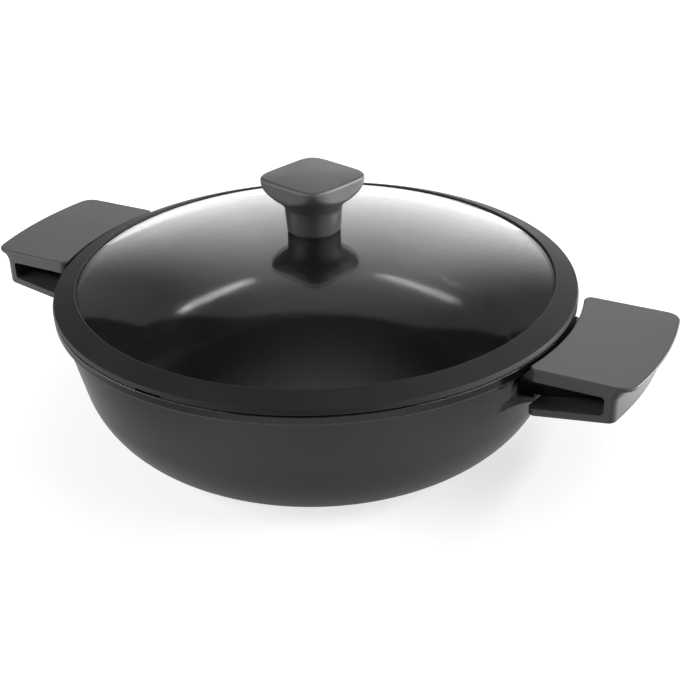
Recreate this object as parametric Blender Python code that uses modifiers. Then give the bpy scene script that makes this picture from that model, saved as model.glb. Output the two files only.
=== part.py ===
"""Saute pan with a domed glass lid and two slip-on side grips.

A cast aluminium bowl carries a rim flange, a steel disc in its base and two side tongues. A
silicone grip slides onto each tongue. The lid is a glass dome held in a silicone rim, with a
moulded knob that one screw clamps through the glass.

Frame: metres, +Z up, the pan's axis on Z, the bench at Z = 0 and the two grips on +X and -X.
Run with: blender --background --python part.py
"""

from math import asin, atan2, cos, hypot, pi, radians, sin, sqrt, tan

import bmesh
import bpy
from mathutils import Matrix, Vector

# Bowl
RIM_RADIUS = 0.150            # outside of the flange
PAN_HEIGHT = 0.086            # bench to the top of the flange
FLANGE_HEIGHT = 0.006
FLANGE_OVERHANG = 0.0035      # how far the flange stands out over the wall below it
FLANGE_TOP_BEVEL = 0.0007
FLANGE_UNDER_ROUND = 0.0018
MOUTH_ROUND = 0.0012          # inner edge of the flange
WALL = 0.0045
WALL_TAPER = radians(12.7)
CORNER_RADIUS = 0.053         # outside, where the wall runs into the base
BASE_THICKNESS = 0.0065

# Steel disc in the base
DISC_RADIUS = 0.079
DISC_THICKNESS = 0.0012

# Side tongues, cast with the bowl
TONGUE_HALF_WIDTH = 0.0285    # at the tip
TONGUE_TAPER = 0.0030         # how much wider each side is at the root
TONGUE_ROOT_FLARE = 0.020     # radius of the web where the tongue leaves the wall, in plan
TONGUE_TIP_ROUND = 0.006
TONGUE_EDGE = 0.0010
TONGUE_END_PLAY = 0.0010      # tip to the end of the grip's slot
TONGUE_EMBED = 0.0030         # how far the root starts inside the wall
HAUNCH_DEPTH = 0.0030         # extra thickness under the root
HAUNCH_END_GAP = 0.0022       # haunch to the grip's inner edge

# Slip-on grips
GRIP_GAP = 0.0030             # flange to the grip's inner edge
GRIP_LENGTH = 0.0524          # inner edge to outer edge, along X
GRIP_HALF_WIDTH = 0.046
GRIP_PROUD = 0.0012           # grip's top above the flange's top
GRIP_PLATE = 0.0070           # thickness of the upper arm
GRIP_OVERHANG = 0.0072        # upper arm beyond the end wall
GRIP_END_WALL = 0.0055        # end wall at the sides of the grip
GRIP_SLOT_TIP = 0.0104        # slot height at its closed end
GRIP_SLOT_SLOPE = radians(8.6)
GRIP_LOWER_ARM = 0.0047
GRIP_SLOT_ROUND = 0.0020
SLOT_EDGE = 0.0005            # broken edges of the slot
GRIP_OUTER_CORNER = 0.0090    # plan radius, upper arm
GRIP_LOWER_CORNER = 0.0042    # plan radius, end wall
GRIP_INNER_CORNER = 0.0042
GRIP_LIP = 0.0022             # thickness of the overhang's edge
GRIP_TOP_ROUND = 0.0011
GRIP_BOTTOM_ROUND = 0.0016
KEY_HALF_WIDTH = 0.0030       # rib under the upper arm that runs in the tongue's groove
KEY_HEIGHT = 0.0020

# Glass
DOME_RISE = 0.0272            # from the rim's inner lip up to the top of the dome
GLASS_THICKNESS = 0.0040
GLASS_EDGE_INSET = 0.0105     # glass edge in from the rim's outside
GLASS_HOLE_RADIUS = 0.0045

# Silicone rim
RIM_SIDE = 0.0033             # upright outer side
RIM_WIDTH = 0.0132            # outside to the inner lip
RIM_RISE = 0.0042             # slope of the top face, from its outer edge to the lip
RIM_LIP = 0.0010              # width of the lip's crest
RIM_OUTER_ROUND = 0.0008
RIM_PLUG_DEPTH = 0.0050
RIM_PLUG_WALL = 0.0042
RIM_UNDER_LIP = 0.0012        # thickness of the lip under the glass, at its tip
RIM_UNDER_REACH = 0.0048      # lip under the glass, in from the glass's edge
LID_PLAY = 0.0006             # plug to the pan's mouth
VENT_WIDTH = 0.0165
VENT_HEIGHT = 0.0011
VENT_AZIMUTH = radians(-94.7)

# Knob
KNOB_HEIGHT = 0.0302          # bottom to the top edge
KNOB_CROWN = 0.0009
KNOB_HALF_WIDTH = 0.0236      # across the flats of the cap, halved
KNOB_SQUARENESS = 4.7         # power of the superellipse that outlines the cap
KNOB_TURN = radians(-11.8)
NECK_RADIUS = 0.0152
NECK_FLARE = 0.0010           # how much the neck widens upwards
NECK_FILLET = 0.0045
CAP_UNDERCUT = 0.0052         # centre of the cap's round underside, in from its flats
CAP_DROP = 0.0015             # that centre, below the top edge
CAP_CORNER_LIFT = radians(13)  # underside's angle where it meets the corners' upright sides
KNOB_TOP_ROUND = 0.0012
KNOB_EDGE_ROUND = 0.0012

# Fixings of the knob
SCREW_RADIUS = 0.0025
SCREW_ENGAGEMENT = 0.0110     # screw inside the insert
SCREW_HEAD_RADIUS = 0.0050
SCREW_HEAD_HEIGHT = 0.0028
SCREW_RECESS_DEPTH = 0.0015
SCREW_RECESS_LENGTH = 0.0050
SCREW_RECESS_WIDTH = 0.0010
INSERT_RADIUS = 0.0050
INSERT_LENGTH = 0.0140
INSERT_TIP_ROOM = 0.0030      # free bore above the insert
GASKET_THICKNESS = 0.0005     # at the axis; the glass falls away towards its edge
GASKET_INSET = 0.0007         # knob gasket in from the neck's bottom edge
SEAL_RADIUS = 0.0120
SEAL_THICKNESS = 0.0015
WASHER_RADIUS = 0.0090
WASHER_THICKNESS = 0.0012

# Gap kept between touching pieces
FIT = 0.0003

# Facets
TURNED_STEPS = 72
SMALL_STEPS = 24
CORNER_STEPS = 9              # along the bowl's large corner
DOME_STEPS = 7
EDGE_STEPS = 3                # along a small rounded edge
PLAN_CORNER_STEPS = 5
PLAN_ARC_STEPS = 8
KNOB_STEPS = 40

# Sizes that follow
SLOPE = tan(WALL_TAPER)
FLANGE_BOTTOM = PAN_HEIGHT - FLANGE_HEIGHT
WALL_TOP_RADIUS = RIM_RADIUS - FLANGE_OVERHANG
GRIP_TOP = PAN_HEIGHT + GRIP_PROUD
SLOT_TOP = GRIP_TOP - GRIP_PLATE
GRIP_INNER = RIM_RADIUS + GRIP_GAP
GRIP_OUTER = GRIP_INNER + GRIP_LENGTH
END_WALL_RADIUS = GRIP_OUTER - GRIP_OVERHANG
SLOT_END = sqrt(END_WALL_RADIUS ** 2 - GRIP_HALF_WIDTH ** 2) - GRIP_END_WALL
TONGUE_TIP = SLOT_END - TONGUE_END_PLAY
RIM_SEAT = PAN_HEIGHT + FIT
RIM_EDGE_TOP = RIM_SEAT + RIM_SIDE
LIP_RADIUS = RIM_RADIUS - RIM_WIDTH
LIP_TOP = RIM_EDGE_TOP + RIM_RISE
GLASS_EDGE = RIM_RADIUS - GLASS_EDGE_INSET
DOME_TOP = RIM_EDGE_TOP + RIM_RISE - RIM_LIP + DOME_RISE
DOME_RADIUS = (LIP_RADIUS ** 2 + DOME_RISE ** 2) / (2 * DOME_RISE)
DOME_CENTRE = DOME_TOP - DOME_RADIUS
GASKET_RADIUS = NECK_RADIUS - GASKET_INSET
KNOB_BOTTOM = DOME_TOP + GASKET_THICKNESS + 2 * FIT
SHANK_BORE = SCREW_RADIUS + FIT
KNOB_CORNER = KNOB_HALF_WIDTH * 2 ** (1 / 2 - 1 / KNOB_SQUARENESS)
CAP_CENTRE = (KNOB_HALF_WIDTH - CAP_UNDERCUT, KNOB_HEIGHT - CAP_DROP)
CAP_RADIUS = (KNOB_CORNER - CAP_CENTRE[0]) / cos(CAP_CORNER_LIFT)


# Small tools

def arc(centre, radius, start, end, steps):
    """Points along an arc in a plane, both ends included."""
    return [
        (centre[0] + radius * cos(start + (end - start) * i / steps),
         centre[1] + radius * sin(start + (end - start) * i / steps))
        for i in range(steps + 1)
    ]


def material(name, colour, roughness, metallic=0.0, transmission=0.0):
    """A Principled material of one colour."""
    made = bpy.data.materials.new(name)
    made.use_nodes = True
    shader = made.node_tree.nodes["Principled BSDF"]
    shader.inputs["Base Color"].default_value = (*colour, 1.0)
    shader.inputs["Roughness"].default_value = roughness
    shader.inputs["Metallic"].default_value = metallic
    shader.inputs["Transmission Weight"].default_value = transmission
    made.diffuse_color = (*colour, 1.0)
    return made


def add_object(name, mesh, collection, finish=None):
    """Put a mesh in the scene as a named object."""
    piece = bpy.data.objects.new(name, mesh)
    collection.objects.link(piece)
    if finish is not None:
        mesh.materials.append(finish)
    if collection.name == CUTTERS:
        piece.hide_render = True
        piece.display_type = "WIRE"
    return piece


def mesh_from(build, name):
    """Make a mesh out of a bmesh that the function build fills."""
    work = bmesh.new()
    build(work)
    bmesh.ops.recalc_face_normals(work, faces=work.faces)
    mesh = bpy.data.meshes.new(name)
    work.to_mesh(mesh)
    work.free()
    return mesh


def turned(name, profile, collection, finish=None, steps=TURNED_STEPS, closed=False):
    """Turn a profile of (radius, height) points about Z with a Screw modifier."""
    mesh = bpy.data.meshes.new(name)
    points = [(radius, 0.0, height) for radius, height in profile]
    edges = [(i, i + 1) for i in range(len(points) - 1)]
    if closed:
        edges.append((len(points) - 1, 0))
    mesh.from_pydata(points, edges, [])
    piece = add_object(name, mesh, collection, finish)
    screw = piece.modifiers.new("Turn", "SCREW")
    screw.axis = "Z"
    screw.angle = 2 * pi
    screw.steps = steps
    screw.render_steps = steps
    screw.use_merge_vertices = True
    screw.merge_threshold = 0.00001
    screw.use_smooth_shade = True
    return piece


def loft(name, rings, collection, finish=None):
    """Skin a stack of rings with the same number of points, and cap both ends."""
    def build(work):
        loops = [[work.verts.new(point) for point in ring] for ring in rings]
        count = len(rings[0])
        for lower, upper in zip(loops, loops[1:]):
            for i in range(count):
                j = (i + 1) % count
                work.faces.new((lower[i], lower[j], upper[j], upper[i]))
        work.faces.new(loops[0][::-1])
        work.faces.new(loops[-1])

    mesh = mesh_from(build, name)
    mesh.shade_smooth()
    mesh.set_sharp_from_angle(angle=radians(35))
    return add_object(name, mesh, collection, finish)


def slab(name, outline, low, high, collection, turn=None):
    """A flat outline in XY, made thick from low to high along Z, then turned."""
    curve = bpy.data.curves.new(name + "_outline", "CURVE")
    curve.dimensions = "2D"
    curve.fill_mode = "BOTH"
    curve.extrude = (high - low) / 2
    curve.render_resolution_u = 0
    spline = curve.splines.new("POLY")
    spline.points.add(len(outline) - 1)
    for point, (x, y) in zip(spline.points, outline):
        point.co = (x, y, 0.0, 1.0)
    spline.use_cyclic_u = True
    drawn = bpy.data.objects.new(name + "_drawn", curve)
    bpy.context.scene.collection.objects.link(drawn)
    drawn.matrix_world = (turn or Matrix()) @ Matrix.Translation((0, 0, (low + high) / 2))
    bpy.context.view_layer.update()
    solid = bpy.data.meshes.new_from_object(drawn.evaluated_get(bpy.context.evaluated_depsgraph_get()))
    work = bmesh.new()
    work.from_mesh(solid)
    bmesh.ops.remove_doubles(work, verts=work.verts, dist=0.00001)
    bmesh.ops.recalc_face_normals(work, faces=work.faces)
    work.to_mesh(solid)
    work.free()
    piece = add_object(name, solid, collection)
    piece.matrix_world = drawn.matrix_world
    bpy.data.objects.remove(drawn, do_unlink=True)
    return piece


def block(name, low, high, collection, turn=0.0):
    """A box between two corners, turned about Z."""
    size = Vector(high) - Vector(low)
    centre = (Vector(high) + Vector(low)) / 2

    def build(work):
        bmesh.ops.create_cube(work, size=1.0)
        bmesh.ops.scale(work, vec=size, verts=work.verts)
        bmesh.ops.translate(work, vec=centre, verts=work.verts)

    piece = add_object(name, mesh_from(build, name), collection)
    piece.rotation_euler.z = turn
    return piece


def combine(piece, other, operation):
    """Join another solid to a piece, or cut it out."""
    step = piece.modifiers.new(operation.title() + " " + other.name, "BOOLEAN")
    step.operation = operation
    step.solver = "EXACT"
    step.object = other


def soften(piece, width, angle, segments=2):
    """Round the edges that are sharper than an angle."""
    step = piece.modifiers.new("Soften", "BEVEL")
    step.width = width
    step.segments = segments
    step.limit_method = "ANGLE"
    step.angle_limit = angle


def hold(piece, carrier):
    """Parent a piece to an empty and leave it where it is."""
    bpy.context.view_layer.update()
    piece.parent = carrier
    piece.matrix_parent_inverse = carrier.matrix_world.inverted()


# Bowl

def wall_radius(height, inset=0.0):
    """Radius of the tapered wall at a height, or of a surface inset from it."""
    return WALL_TOP_RADIUS - (FLANGE_BOTTOM - height) * SLOPE - inset / cos(WALL_TAPER)


def corner_profile(floor, fillet, inset):
    """Points from the wall round the corner to the floor, from top to bottom."""
    centre = (wall_radius(floor + fillet, inset + fillet), floor + fillet)
    return arc(centre, fillet, -WALL_TAPER, -pi / 2, CORNER_STEPS)


def bowl_outside():
    """The casting's outer profile, from the top of the flange down to the disc's socket."""
    inner = (0.0, PAN_HEIGHT)
    edge = [(RIM_RADIUS - FLANGE_TOP_BEVEL, PAN_HEIGHT), (RIM_RADIUS, PAN_HEIGHT - FLANGE_TOP_BEVEL)]
    under = arc((RIM_RADIUS - FLANGE_UNDER_ROUND, FLANGE_BOTTOM + FLANGE_UNDER_ROUND),
                FLANGE_UNDER_ROUND, 0.0, -pi / 2, EDGE_STEPS)
    wall = [(WALL_TOP_RADIUS, FLANGE_BOTTOM)]
    socket = [(DISC_RADIUS + FIT, 0.0), (DISC_RADIUS + FIT, DISC_THICKNESS + FIT), (0.0, DISC_THICKNESS + FIT)]
    return [inner] + edge + under + wall + corner_profile(0.0, CORNER_RADIUS, 0.0) + socket


def bowl_cavity():
    """The inside profile, from above the mouth down to the cooking floor."""
    above = PAN_HEIGHT + 0.010
    mouth = wall_radius(PAN_HEIGHT, WALL)
    rounded = arc((mouth + MOUTH_ROUND, PAN_HEIGHT - MOUTH_ROUND), MOUTH_ROUND, pi / 2, pi, EDGE_STEPS)
    corner = corner_profile(BASE_THICKNESS, CORNER_RADIUS - WALL, WALL)
    return [(0.0, above), (mouth + MOUTH_ROUND, above)] + rounded + corner + [(0.0, BASE_THICKNESS)]


def slot_floor(x):
    """Height of the grip slot's sloping floor."""
    return SLOT_TOP - GRIP_SLOT_TIP - (SLOT_END - x) * tan(GRIP_SLOT_SLOPE)


def web_outline(inset, steps):
    """One side of the web in plan, from inside the wall to where the tongue runs straight."""
    wall = wall_radius(slot_floor(RIM_RADIUS))
    flare = TONGUE_ROOT_FLARE + inset
    spread = TONGUE_HALF_WIDTH + TONGUE_TAPER - inset + flare
    turn = asin(spread / (wall + flare))
    root = ((wall - TONGUE_EMBED) * cos(turn), (wall - TONGUE_EMBED) * sin(turn))
    return [root] + arc(((wall + flare) * cos(turn), spread), flare, turn - pi, -pi / 2, steps)


def tongue_outline(inset):
    """Half of the tongue's plan and its mirror image, from the root round the tip."""
    end = arc((TONGUE_TIP - TONGUE_TIP_ROUND, TONGUE_HALF_WIDTH - TONGUE_TIP_ROUND),
              TONGUE_TIP_ROUND - inset, pi / 2, 0.0, PLAN_CORNER_STEPS)
    half = web_outline(inset, PLAN_CORNER_STEPS) + end
    return half + [(x, -y) for x, y in reversed(half)]


def haunch_outline():
    """The web's plan as far as the grip's inner edge, less a gap."""
    reach = GRIP_INNER - HAUNCH_END_GAP
    web = [point for point in web_outline(0.0, 3 * PLAN_CORNER_STEPS) if hypot(*point) < reach]
    turn = asin(web[-1][1] / reach)
    end = arc((0, 0), reach, turn, -turn, PLAN_CORNER_STEPS)
    return web + end + [(x, -y) for x, y in reversed(web)]


def tongue(name, side, collection):
    """One cast tongue, thinner towards its tip, with its long edges eased."""
    rings = []
    for inset, lift in ((TONGUE_EDGE, FIT), (0.0, FIT + TONGUE_EDGE)):
        rings.append([(side * x, side * y, slot_floor(x) + lift) for x, y in tongue_outline(inset)])
    for inset, drop in ((0.0, FIT + TONGUE_EDGE), (TONGUE_EDGE, FIT)):
        rings.append([(side * x, side * y, SLOT_TOP - drop) for x, y in tongue_outline(inset)])
    return loft(name, rings, collection)


def haunch(name, side, collection):
    """The thicker root under a tongue, between the wall and the grip's lower arm."""
    rings = [[(side * x, side * y, slot_floor(x) + lift) for x, y in haunch_outline()]
             for lift in (-HAUNCH_DEPTH, 2 * TONGUE_EDGE)]
    return loft(name, rings, collection)


def pan_body(parts, cutters, finish):
    """The casting: bowl, flange and both tongues in one piece."""
    body = turned("pan_body", bowl_outside(), parts, finish)
    cavity = turned("cavity", bowl_cavity(), cutters)
    for label, side in SIDES:
        combine(body, tongue(label + "_tongue", side, cutters), "UNION")
        combine(body, haunch(label + "_haunch", side, cutters), "UNION")
    combine(body, cavity, "DIFFERENCE")
    for label, side in SIDES:
        reach = sorted((side * GRIP_INNER, side * (SLOT_END + TONGUE_END_PLAY)))
        half = KEY_HALF_WIDTH + FIT
        groove = block(label + "_groove", (reach[0], -half, SLOT_TOP - KEY_HEIGHT - FIT),
                       (reach[1], half, SLOT_TOP + KEY_HEIGHT), cutters)
        combine(body, groove, "DIFFERENCE")
    return body


def base_disc(parts, finish):
    """Steel disc that lets the pan work on an induction hob."""
    profile = [(0.0, DISC_THICKNESS), (DISC_RADIUS, DISC_THICKNESS), (DISC_RADIUS, 0.0), (0.0, 0.0)]
    return turned("base_disc", profile, parts, finish)


# Grips

def grip_outline(inner, outer, half_width, outer_corner, inner_corner):
    """Plan of a grip: both ends concentric with the pan, straight sides, rounded corners."""
    far = Vector((sqrt((outer - outer_corner) ** 2 - (half_width - outer_corner) ** 2),
                  half_width - outer_corner))
    near = Vector((sqrt((inner + inner_corner) ** 2 - (half_width - inner_corner) ** 2),
                   half_width - inner_corner))
    far_angle = atan2(far.y, far.x)
    near_angle = atan2(near.y, near.x)
    outline = arc((0, 0), outer, -far_angle, far_angle, PLAN_ARC_STEPS)[:-1]
    outline += arc(far, outer_corner, far_angle, pi / 2, PLAN_CORNER_STEPS)
    outline += arc(near, inner_corner, pi / 2, pi + near_angle, PLAN_CORNER_STEPS)[:-1]
    outline += arc((0, 0), inner, near_angle, -near_angle, PLAN_ARC_STEPS)[:-1]
    outline += arc((near.x, -near.y), inner_corner, pi - near_angle, 3 * pi / 2, PLAN_CORNER_STEPS)
    outline += arc((far.x, -far.y), outer_corner, -pi / 2, -far_angle, PLAN_CORNER_STEPS)[:-1]
    return outline


def grip_ring(inset, overhang, corner, height):
    """One level of the grip, drawn in by inset and, at its far end, by overhang too."""
    outline = grip_outline(GRIP_INNER + inset, GRIP_OUTER - overhang - inset,
                           GRIP_HALF_WIDTH - inset, corner - inset, GRIP_INNER_CORNER - inset)
    return [(x, y, height(x)) for x, y in outline]


def grip_rings():
    """The grip's outside, from its top face down to its sloping underside."""
    rings = []
    for inset, lift in arc((GRIP_TOP_ROUND, -GRIP_TOP_ROUND), GRIP_TOP_ROUND, pi / 2, pi, EDGE_STEPS):
        rings.append(grip_ring(inset, 0.0, GRIP_OUTER_CORNER, lambda x, z=GRIP_TOP + lift: z))
    edge = GRIP_LIP - GRIP_TOP_ROUND
    for angle in (0.0, pi / 4, pi / 2):
        drawn = edge * (1 - cos(angle))
        level = GRIP_TOP - GRIP_LIP + edge * (1 - sin(angle))
        if angle > 0.0:
            rings.append(grip_ring(0.0, drawn, GRIP_OUTER_CORNER, lambda x, z=level: z))
    cove = GRIP_OVERHANG - edge
    for i in range(1, PLAN_CORNER_STEPS + 1):
        angle = pi / 2 * i / PLAN_CORNER_STEPS
        share = sin(angle)
        corner = GRIP_OUTER_CORNER + (GRIP_LOWER_CORNER - GRIP_OUTER_CORNER) * share
        level = GRIP_TOP - GRIP_LIP - cove * (1 - cos(angle))
        rings.append(grip_ring(0.0, edge + cove * share, corner, lambda x, z=level: z))
    for inset, lift in arc((GRIP_BOTTOM_ROUND, GRIP_BOTTOM_ROUND), GRIP_BOTTOM_ROUND,
                           pi, 3 * pi / 2, EDGE_STEPS):
        rings.append(grip_ring(inset, GRIP_OVERHANG, GRIP_LOWER_CORNER,
                               lambda x, up=lift: slot_floor(x) - GRIP_LOWER_ARM + up))
    return rings


def slot_section():
    """The slot's section in X and Z: open towards the pan, rounded at its closed end."""
    mouth = GRIP_INNER - GRIP_LENGTH / 4
    ceiling = arc((SLOT_END - GRIP_SLOT_ROUND, SLOT_TOP - GRIP_SLOT_ROUND), GRIP_SLOT_ROUND,
                  pi / 2, 0.0, EDGE_STEPS)
    low = slot_floor(SLOT_END) + GRIP_SLOT_ROUND
    floor = arc((SLOT_END - GRIP_SLOT_ROUND, low), GRIP_SLOT_ROUND, 0.0, -pi / 2, EDGE_STEPS)[:-1]
    return [(mouth, SLOT_TOP)] + ceiling + floor + [
        (SLOT_END - GRIP_SLOT_ROUND, slot_floor(SLOT_END - GRIP_SLOT_ROUND)),
        (mouth, slot_floor(mouth))]


def grip(name, side, parts, cutters, finish):
    """A slip-on grip: upper arm, end wall and lower arm round the tongue."""
    rings = [[(side * x, side * y, z) for x, y, z in ring] for ring in grip_rings()]
    piece = loft(name, rings, parts, finish)
    upright = Matrix.Rotation(0.0 if side > 0 else pi, 4, "Z") @ Matrix.Rotation(pi / 2, 4, "X")
    past = GRIP_HALF_WIDTH + GRIP_END_WALL
    slot = slab(name + "_slot", slot_section(), -past, past, cutters, upright)
    combine(piece, slot, "DIFFERENCE")
    reach = sorted((side * (GRIP_INNER + GRIP_INNER_CORNER), side * (SLOT_END + TONGUE_END_PLAY)))
    key = block(name + "_key", (reach[0], -KEY_HALF_WIDTH, SLOT_TOP - KEY_HEIGHT),
                (reach[1], KEY_HALF_WIDTH, SLOT_TOP + GRIP_PLATE / 2), cutters)
    combine(piece, key, "UNION")
    soften(piece, SLOT_EDGE, radians(50))
    return piece


# Lid

def dome_height(radius, depth=0.0):
    """Height of the glass at a radius, or of a surface a depth below its outside."""
    return DOME_CENTRE + sqrt((DOME_RADIUS - depth) ** 2 - radius ** 2)


def dome_arc(start, end, depth, steps):
    """Points along the dome between two radii."""
    low = asin(start / (DOME_RADIUS - depth))
    high = asin(end / (DOME_RADIUS - depth))
    return [
        ((DOME_RADIUS - depth) * sin(low + (high - low) * i / steps),
         DOME_CENTRE + (DOME_RADIUS - depth) * cos(low + (high - low) * i / steps))
        for i in range(steps + 1)
    ]


def lid_glass(parts, finish):
    """The glass dome, with a hole for the knob's screw."""
    outside = dome_arc(GLASS_HOLE_RADIUS, GLASS_EDGE, 0.0, DOME_STEPS)
    inside = dome_arc(GLASS_HOLE_RADIUS, GLASS_EDGE, GLASS_THICKNESS, DOME_STEPS)
    return turned("lid_glass", outside + inside[::-1], parts, finish, closed=True)


def lid_rim(parts, cutters, finish):
    """Silicone rim: it grips the glass's edge, sits on the flange and plugs the mouth."""
    plug_bottom = PAN_HEIGHT - RIM_PLUG_DEPTH
    plug_outer = wall_radius(plug_bottom, WALL) - LID_PLAY
    groove = GLASS_EDGE + FIT
    under_tip = GLASS_EDGE - RIM_UNDER_REACH
    under_top = dome_height(under_tip, GLASS_THICKNESS + FIT)
    profile = [
        (LIP_RADIUS, dome_height(LIP_RADIUS) + FIT),
        (LIP_RADIUS, LIP_TOP - RIM_LIP / 2),
        (LIP_RADIUS + RIM_LIP / 2, LIP_TOP),
        (LIP_RADIUS + RIM_LIP, LIP_TOP - RIM_LIP / 4),
    ]
    profile += arc((RIM_RADIUS - RIM_OUTER_ROUND, RIM_EDGE_TOP - RIM_OUTER_ROUND), RIM_OUTER_ROUND,
                   pi / 2, 0.0, EDGE_STEPS)
    profile += [
        (RIM_RADIUS, RIM_SEAT + RIM_OUTER_ROUND / 2),
        (RIM_RADIUS - RIM_OUTER_ROUND / 2, RIM_SEAT),
        (plug_outer, RIM_SEAT),
        (plug_outer, plug_bottom),
        (plug_outer - RIM_PLUG_WALL, plug_bottom),
        (under_tip, under_top - RIM_UNDER_LIP),
        (under_tip, under_top),
        (groove, dome_height(GLASS_EDGE, GLASS_THICKNESS + FIT)),
        (groove, dome_height(GLASS_EDGE) + FIT),
    ]
    rim = turned("lid_rim", profile, parts, finish, closed=True)
    half = VENT_WIDTH / 2
    gutter = block("vent_gutter", (under_tip - RIM_PLUG_WALL, -half, plug_bottom - RIM_SIDE),
                   (plug_outer + LID_PLAY, half, RIM_SEAT - FIT), cutters, VENT_AZIMUTH)
    outlet = block("vent_outlet", (groove + RIM_LIP / 2, -half, RIM_SEAT - 2 * FIT),
                   (RIM_RADIUS + RIM_SIDE, half, RIM_SEAT + VENT_HEIGHT), cutters, VENT_AZIMUTH)
    combine(rim, gutter, "DIFFERENCE")
    combine(rim, outlet, "DIFFERENCE")
    return rim


# Knob

def cap_radius(angle):
    """Radius of the cap's superellipse outline in one direction."""
    power = KNOB_SQUARENESS
    return KNOB_HALF_WIDTH / (abs(cos(angle)) ** power + abs(sin(angle)) ** power) ** (1 / power)


def blend(start, corner, end, steps):
    """A short curve that rounds a corner, its ends included."""
    points = []
    for i in range(steps + 1):
        t = i / steps
        points.append(tuple(
            (1 - t) ** 2 * a + 2 * t * (1 - t) * b + t * t * c
            for a, b, c in zip(start, corner, end)))
    return points


def knob_meridian(angle):
    """The knob's section in one direction, from the neck's bottom to near the axis."""
    reach = cap_radius(angle)
    fillet_radius = NECK_RADIUS + NECK_FLARE + NECK_FILLET
    fillet_drop = sqrt((CAP_RADIUS + NECK_FILLET) ** 2 - (fillet_radius - CAP_CENTRE[0]) ** 2)
    fillet = (fillet_radius, CAP_CENTRE[1] - fillet_drop)
    touch = atan2(fillet_drop, CAP_CENTRE[0] - fillet_radius)
    points = [(NECK_RADIUS - FIT, 0.0), (NECK_RADIUS, FIT)]
    points += arc(fillet, NECK_FILLET, pi, touch, EDGE_STEPS + 1)
    start = touch - pi
    stop = -atan2(sqrt(CAP_RADIUS ** 2 - (reach - CAP_CENTRE[0]) ** 2), reach - CAP_CENTRE[0])
    back = KNOB_EDGE_ROUND / CAP_RADIUS
    points += arc(CAP_CENTRE, CAP_RADIUS, start, stop - back, EDGE_STEPS + 1)[1:]
    corner = (reach, CAP_CENTRE[1] + CAP_RADIUS * sin(stop))
    points += blend(points[-1], corner, (reach, corner[1] + KNOB_EDGE_ROUND), EDGE_STEPS)[1:]
    top = KNOB_HEIGHT
    points += arc((reach - KNOB_TOP_ROUND, top - KNOB_TOP_ROUND), KNOB_TOP_ROUND, 0.0, pi / 2, EDGE_STEPS)
    for share in (0.75, 0.5, 0.25):
        points.append(((reach - KNOB_TOP_ROUND) * share, top + KNOB_CROWN * (1 - share ** 2)))
    return points


def knob(parts, cutters, finish):
    """The moulded knob: a round neck that runs out into a rounded square cap."""
    angles = [2 * pi * i / KNOB_STEPS for i in range(KNOB_STEPS)]
    meridians = [knob_meridian(angle) for angle in angles]
    rings = [
        [(point[0] * cos(angle), point[0] * sin(angle), point[1])
         for angle, point in zip(angles, level)]
        for level in zip(*meridians)
    ]
    piece = loft("knob", rings, parts, finish)
    bore = INSERT_RADIUS + FIT
    depth = INSERT_LENGTH + 2 * FIT
    room = SHANK_BORE
    profile = [(0.0, depth + INSERT_TIP_ROOM), (room, depth + INSERT_TIP_ROOM), (room, depth),
               (bore, depth), (bore, -FIT), (0.0, -FIT)]
    cut = turned("knob_bore", profile, cutters, steps=SMALL_STEPS)
    for item in (piece, cut):
        item.location.z = KNOB_BOTTOM
        item.rotation_euler.z = KNOB_TURN
    combine(piece, cut, "DIFFERENCE")
    return piece


def ring(name, inner, outer, low, high, parts, finish):
    """A flat washer between two heights."""
    profile = [(inner, high), (outer, high), (outer, low), (inner, low)]
    return turned(name, profile, parts, finish, steps=SMALL_STEPS, closed=True)


def knob_fixings(parts, cutters, finishes):
    """Everything that clamps the knob to the glass, from the insert down to the screw head."""
    pieces = [ring("knob_insert", SHANK_BORE, INSERT_RADIUS, KNOB_BOTTOM + FIT,
                   KNOB_BOTTOM + FIT + INSERT_LENGTH, parts, finishes["brass"])]
    seat = [(SHANK_BORE, KNOB_BOTTOM - FIT), (GASKET_RADIUS, KNOB_BOTTOM - FIT),
            (GASKET_RADIUS, dome_height(GASKET_RADIUS) + FIT), (SHANK_BORE, dome_height(SHANK_BORE) + FIT)]
    pieces.append(turned("knob_gasket", seat, parts, finishes["seal"], steps=SMALL_STEPS, closed=True))
    seal_top = dome_height(SEAL_RADIUS, GLASS_THICKNESS) - FIT
    washer_top = seal_top - SEAL_THICKNESS - FIT
    head_top = washer_top - WASHER_THICKNESS - FIT
    pieces.append(ring("glass_seal", SHANK_BORE, SEAL_RADIUS, seal_top - SEAL_THICKNESS, seal_top,
                       parts, finishes["seal"]))
    pieces.append(ring("screw_washer", SHANK_BORE, WASHER_RADIUS, washer_top - WASHER_THICKNESS,
                       washer_top, parts, finishes["steel"]))
    tip = KNOB_BOTTOM + FIT + SCREW_ENGAGEMENT
    head = arc((SCREW_HEAD_RADIUS - FIT * 3, head_top - SCREW_HEAD_HEIGHT + FIT * 3), FIT * 3,
               0.0, -pi / 2, EDGE_STEPS)
    profile = [(0.0, tip), (SCREW_RADIUS - FIT, tip), (SCREW_RADIUS, tip - FIT), (SCREW_RADIUS, head_top),
               (SCREW_HEAD_RADIUS, head_top)] + head + [(0.0, head_top - SCREW_HEAD_HEIGHT)]
    screw = turned("knob_screw", profile, parts, finishes["steel"], steps=SMALL_STEPS)
    long_half = SCREW_RECESS_LENGTH / 2
    short_half = SCREW_RECESS_WIDTH / 2
    bottom = head_top - SCREW_HEAD_HEIGHT
    for label, along, across in (("a", long_half, short_half), ("b", short_half, long_half)):
        combine(screw, block("recess_" + label, (-along, -across, bottom - SCREW_RECESS_DEPTH),
                             (along, across, bottom + SCREW_RECESS_DEPTH), cutters), "DIFFERENCE")
    pieces.append(screw)
    return pieces


# Assembly

PART_NAME = "saute_pan"
CUTTERS = "cutters"
SIDES = (("right", 1), ("left", -1))


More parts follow.
